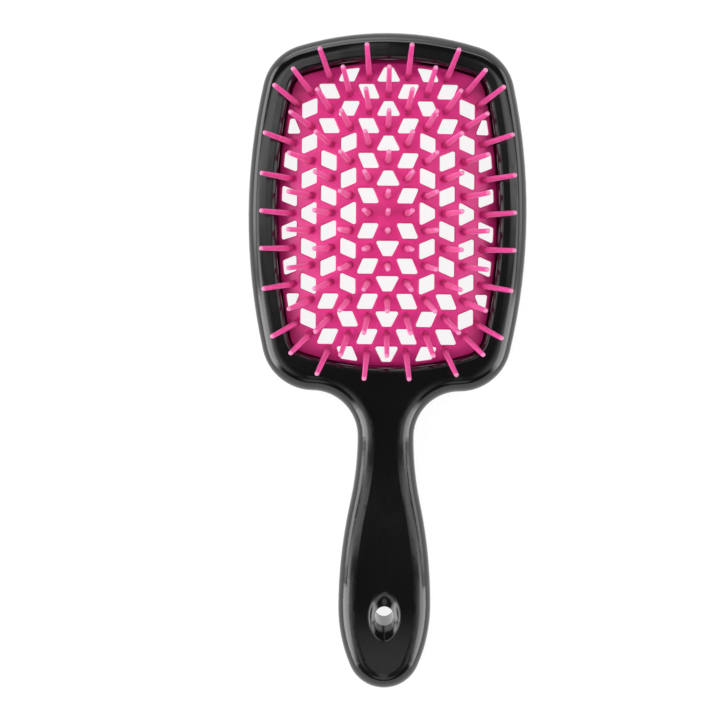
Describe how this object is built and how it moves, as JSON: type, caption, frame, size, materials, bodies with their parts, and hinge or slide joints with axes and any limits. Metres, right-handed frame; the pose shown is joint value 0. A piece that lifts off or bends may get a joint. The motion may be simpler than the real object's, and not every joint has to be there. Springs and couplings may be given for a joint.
{
  "type": "detangling brush",
  "caption": "Paddle hair brush with a glossy two-shell frame and handle, a domed openwork net across the frame and slim leaning pins that sink with the net.",
  "frame": {"origin": "on the surface that the brush lies on with its back down, under the middle of its bounding box", "axes": "+Y towards the head's end, away from the handle; +Z the way the pins point; X across the brush"},
  "size_m": [0.0914, 0.215, 0.0355],
  "materials": {
    "black_shell": "polished moulding, glossy, nearly black",
    "pink_net": "soft satin flexible plastic, hot pink",
    "pink_pins": "soft satin flexible plastic, hot pink, a little light passes through"
  },
  "bodies": {
    "handle": {"front_shell": "black_shell", "back_shell": "black_shell", "pad_net": "pink_net"},
    "crown_pins": {"pins_crown": "pink_pins"},
    "ring_1_pins": {"pins_ring_1": "pink_pins"},
    "ring_2_pins": {"pins_ring_2": "pink_pins"},
    "ring_3_pins": {"pins_ring_3": "pink_pins"},
    "ring_4_pins": {"pins_ring_4": "pink_pins"},
    "ring_5_pins": {"pins_ring_5": "pink_pins"}
  },
  "joints": [
    {"name": "pad_press", "type": "slide", "parent": "handle", "child": "crown_pins", "axis": [0, 0, 1], "range_m": [-0.003, 0], "stiffness_N_per_m": 1500, "deforming": ["pad_net"]},
    {"name": "ring_1_press", "type": "slide", "parent": "handle", "child": "ring_1_pins", "axis": [0, 0, 1], "range_m": [-0.00253, 0], "stiffness_N_per_m": 1500},
    {"name": "ring_2_press", "type": "slide", "parent": "handle", "child": "ring_2_pins", "axis": [0, 0, 1], "range_m": [-0.00208, 0], "stiffness_N_per_m": 1500},
    {"name": "ring_3_press", "type": "slide", "parent": "handle", "child": "ring_3_pins", "axis": [0, 0, 1], "range_m": [-0.00161, 0], "stiffness_N_per_m": 1500},
    {"name": "ring_4_press", "type": "slide", "parent": "handle", "child": "ring_4_pins", "axis": [0, 0, 1], "range_m": [-0.00133, 0], "stiffness_N_per_m": 1500},
    {"name": "ring_5_press", "type": "slide", "parent": "handle", "child": "ring_5_pins", "axis": [0, 0, 1], "range_m": [-0.00074, 0], "stiffness_N_per_m": 1500}
  ],
  "couplings": [
    {"joint": "ring_1_press", "follows": "pad_press", "ratio": 0.84},
    {"joint": "ring_2_press", "follows": "pad_press", "ratio": 0.6917},
    {"joint": "ring_3_press", "follows": "pad_press", "ratio": 0.5354},
    {"joint": "ring_4_press", "follows": "pad_press", "ratio": 0.4411},
    {"joint": "ring_5_press", "follows": "pad_press", "ratio": 0.2444}
  ]
}
